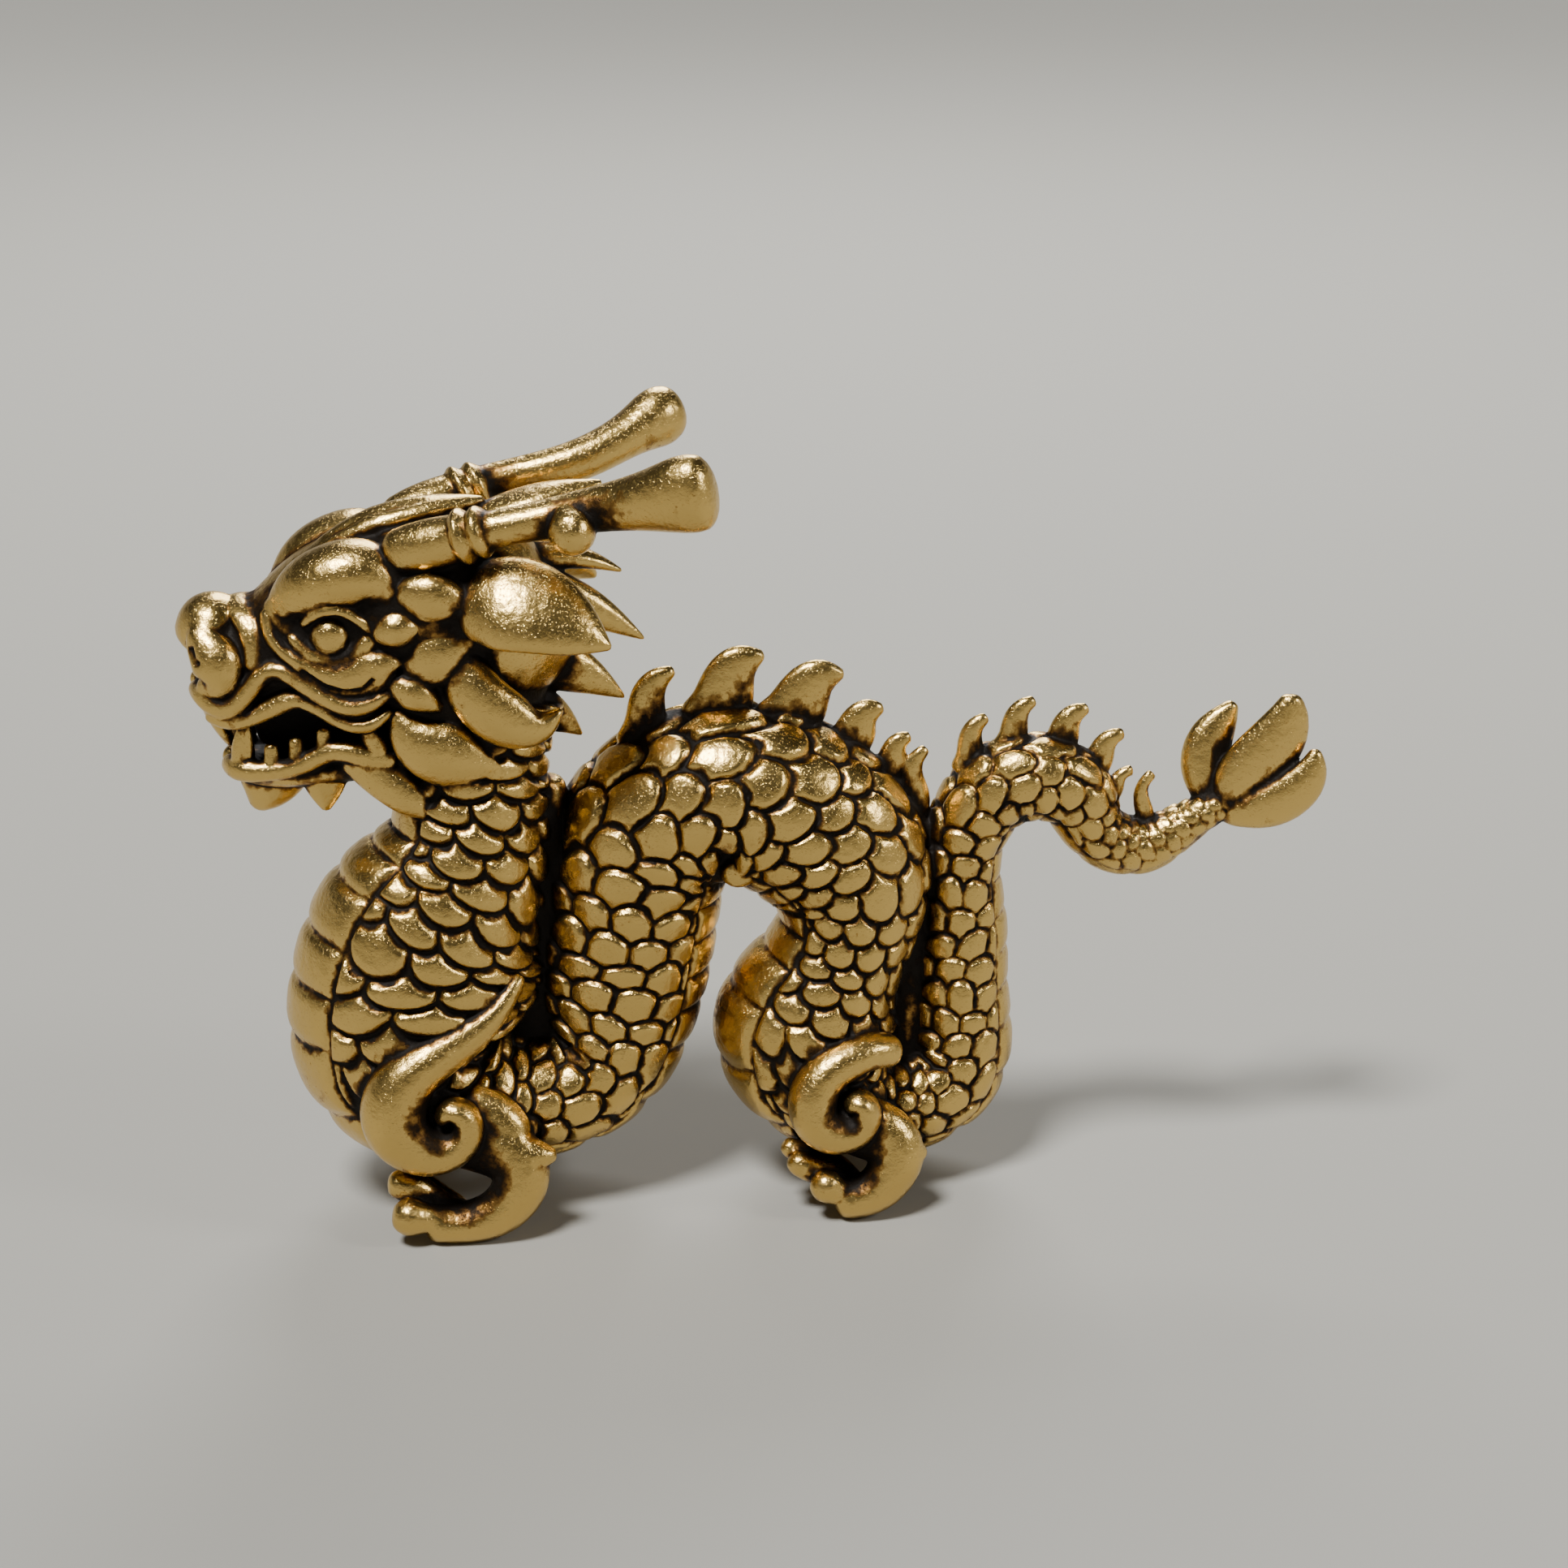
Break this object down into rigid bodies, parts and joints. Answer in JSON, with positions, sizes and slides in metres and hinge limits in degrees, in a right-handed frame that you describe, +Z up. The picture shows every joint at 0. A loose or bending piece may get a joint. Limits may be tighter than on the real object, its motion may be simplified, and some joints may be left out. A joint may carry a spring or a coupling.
{
  "type": "dragon figurine",
  "caption": "Small cast brass figure of a coiled, scaled dragon with horns, a spined back and a leafed tail, standing on clawed feet.",
  "frame": {"origin": "middle of the figure's bounding box, on the ground under its feet", "axes": "+X from the head to the tail, +Z up; the side that the picture shows faces -Y"},
  "size_m": [0.08, 0.0226, 0.056],
  "materials": {
    "brass": "antique patina, dark in the recesses and rubbed bright on the high places"
  },
  "bodies": {
    "root": {"dragon": "brass"}
  },
  "joints": []
}
